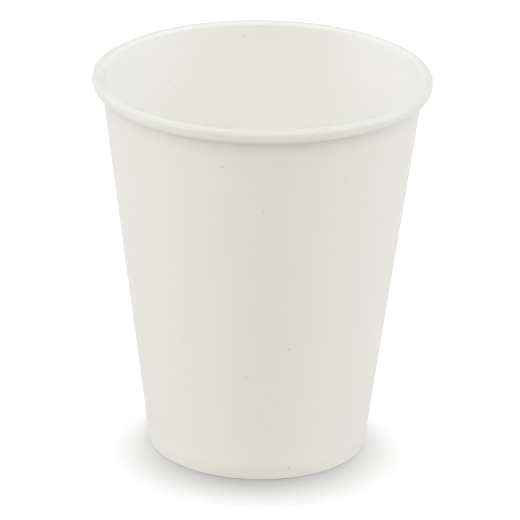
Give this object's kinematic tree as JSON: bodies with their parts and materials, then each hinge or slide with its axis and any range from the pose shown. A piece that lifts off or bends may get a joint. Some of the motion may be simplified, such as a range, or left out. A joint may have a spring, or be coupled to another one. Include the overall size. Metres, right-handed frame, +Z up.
{
  "type": "paper cup",
  "caption": "Plain white single-wall paper cup for hot drinks: tapered wall with a lapped side seam, rolled brim, and a recessed base held in the folded foot.",
  "frame": {"origin": "on the cup's axis, in the plane that the cup stands on", "axes": "+Z up along the cup's axis towards the brim; -X is the side where the seam lies, with the seam's inner raw edge 7.2 degrees from -X towards +Y"},
  "size_m": [0.0803, 0.08, 0.0929],
  "materials": {
    "coated_board": "warm white cup board, uncoated outside, thin glossy coating inside",
    "base_board": "warm white cup board, coated on its upper face"
  },
  "bodies": {
    "root": {"side_wall": "coated_board", "bottom_disc": "base_board"}
  },
  "joints": []
}
